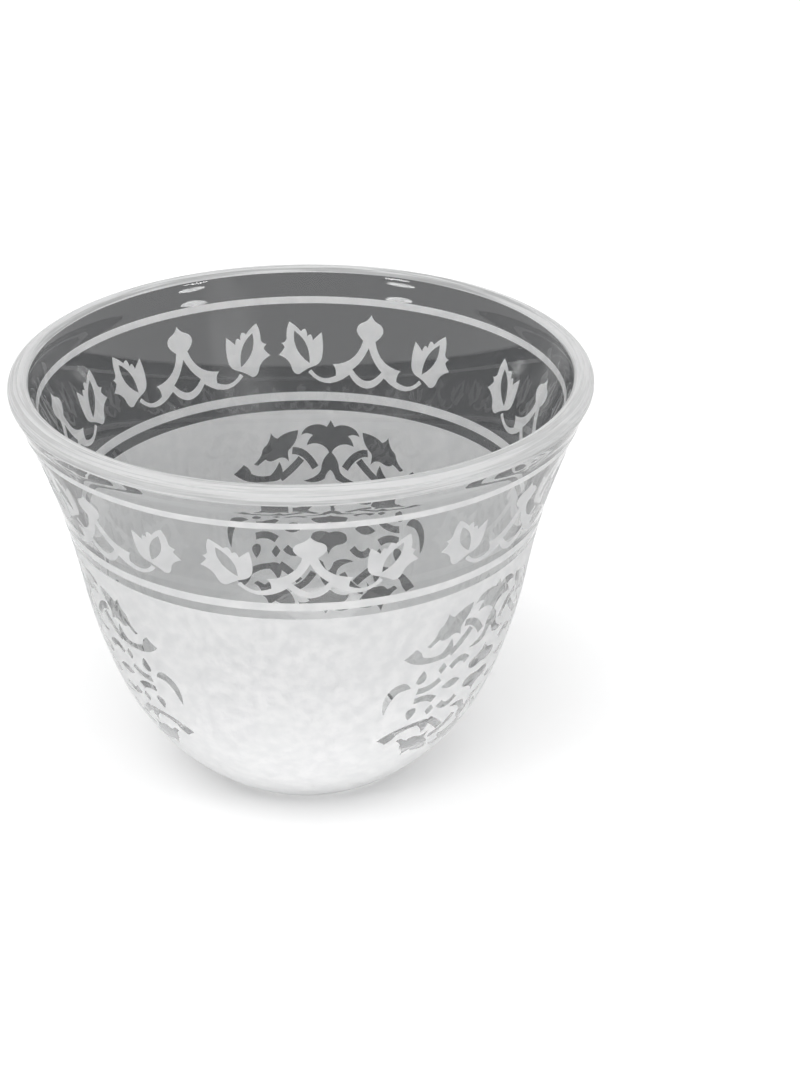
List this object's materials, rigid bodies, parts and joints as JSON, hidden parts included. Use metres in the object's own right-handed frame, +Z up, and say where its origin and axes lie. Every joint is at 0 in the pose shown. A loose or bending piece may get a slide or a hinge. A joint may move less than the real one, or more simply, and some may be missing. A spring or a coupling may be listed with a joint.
{
  "type": "arabic coffee cup",
  "caption": "Small handleless clear glass coffee cup with flared rim, frosted floral border and a frosted belly with three clear arabesque roundels.",
  "frame": {"origin": "centre of the flat foot, on the surface that the cup stands on", "axes": "+Z up along the axis of the cup; -Y towards the side with the main sprig between two roundels"},
  "size_m": [0.066, 0.066, 0.0504],
  "materials": {
    "glass": "clear pressed glass, fire polished",
    "frosting": "white frosted glass, matt"
  },
  "bodies": {
    "root": {"glass_body": "glass", "rim_line": "frosting", "band_line": "frosting", "frosted_field": "frosting", "bud_scroll_1": "frosting", "bud_scroll_2": "frosting", "bud_scroll_3": "frosting", "bud_scroll_4": "frosting", "bud_scroll_5": "frosting", "bud_scroll_6": "frosting", "bud_scroll_7": "frosting", "tulip_left_1": "frosting", "tulip_left_2": "frosting", "tulip_left_3": "frosting", "tulip_left_4": "frosting", "tulip_left_5": "frosting", "tulip_left_6": "frosting", "tulip_left_7": "frosting", "tulip_right_1": "frosting", "tulip_right_2": "frosting", "tulip_right_3": "frosting", "tulip_right_4": "frosting", "tulip_right_5": "frosting", "tulip_right_6": "frosting", "tulip_right_7": "frosting"}
  },
  "joints": []
}
